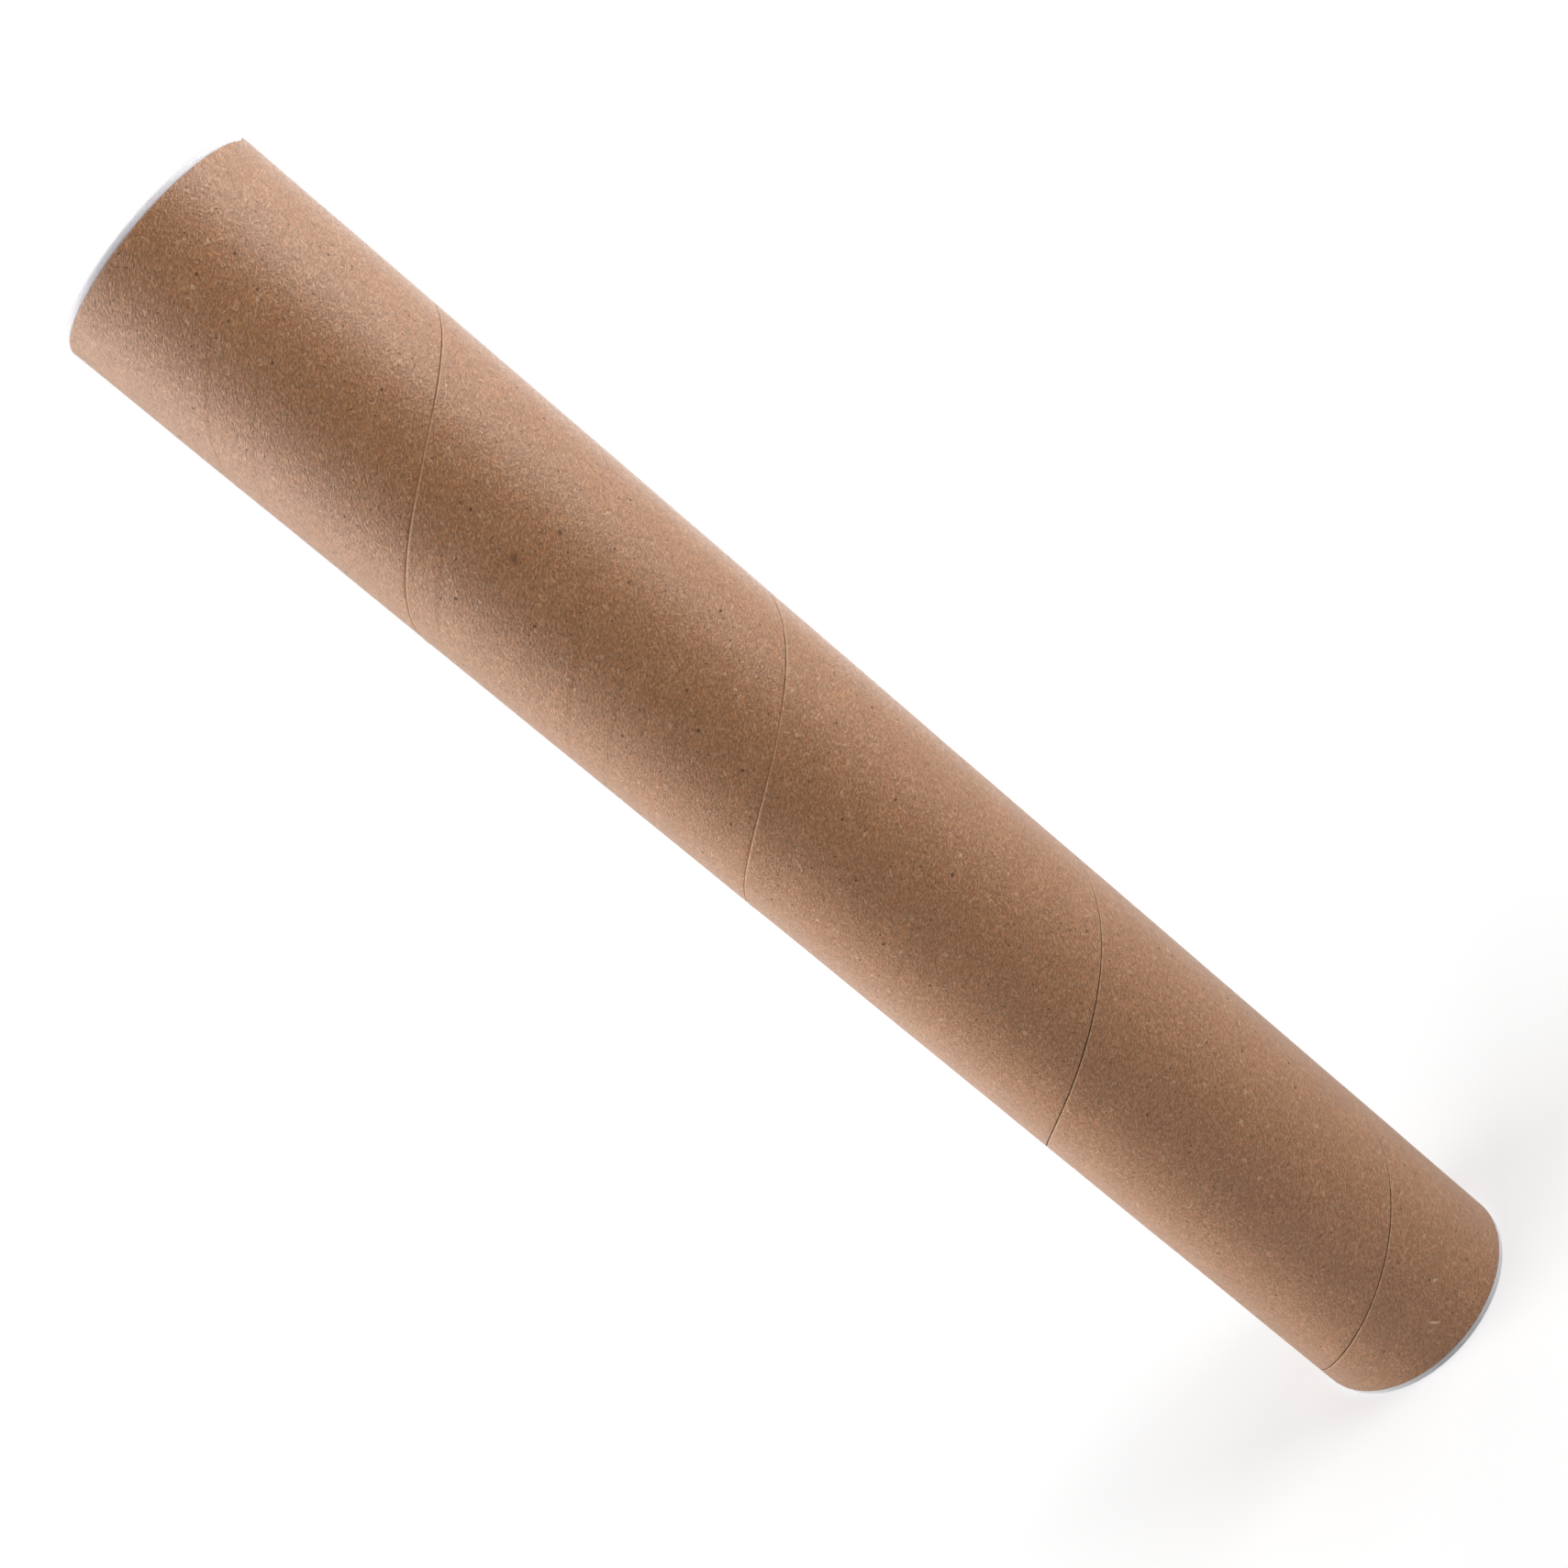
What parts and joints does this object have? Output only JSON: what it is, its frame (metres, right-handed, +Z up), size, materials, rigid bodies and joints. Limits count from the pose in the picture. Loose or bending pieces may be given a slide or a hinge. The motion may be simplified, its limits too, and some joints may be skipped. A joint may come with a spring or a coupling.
{
  "type": "mailing tube",
  "caption": "Spiral-wound kraft paperboard tube with a push-in white plastic cap in each end, for posting or storing rolled sheets.",
  "frame": {"origin": "centre of the lower cap's outer face, where the tube stands", "axes": "+Z up the axis of the tube, -Y towards the pictured side"},
  "size_m": [0.054, 0.054, 0.3584],
  "materials": {
    "kraft_board": "bare kraft paperboard, wound in glued plies",
    "cap_plastic": "satin moulded polyethylene"
  },
  "bodies": {
    "lower_cap": {"lower_cap": "cap_plastic"},
    "tube": {"tube_body": "kraft_board"},
    "upper_cap": {"upper_cap": "cap_plastic"}
  },
  "joints": [
    {"name": "lower_cap_pull", "type": "slide", "parent": "lower_cap", "child": "tube", "axis": [0, 0, 1], "range_m": [0, 0.06]},
    {"name": "upper_cap_pull", "type": "slide", "parent": "tube", "child": "upper_cap", "axis": [0, 0, 1], "range_m": [0, 0.06]}
  ]
}
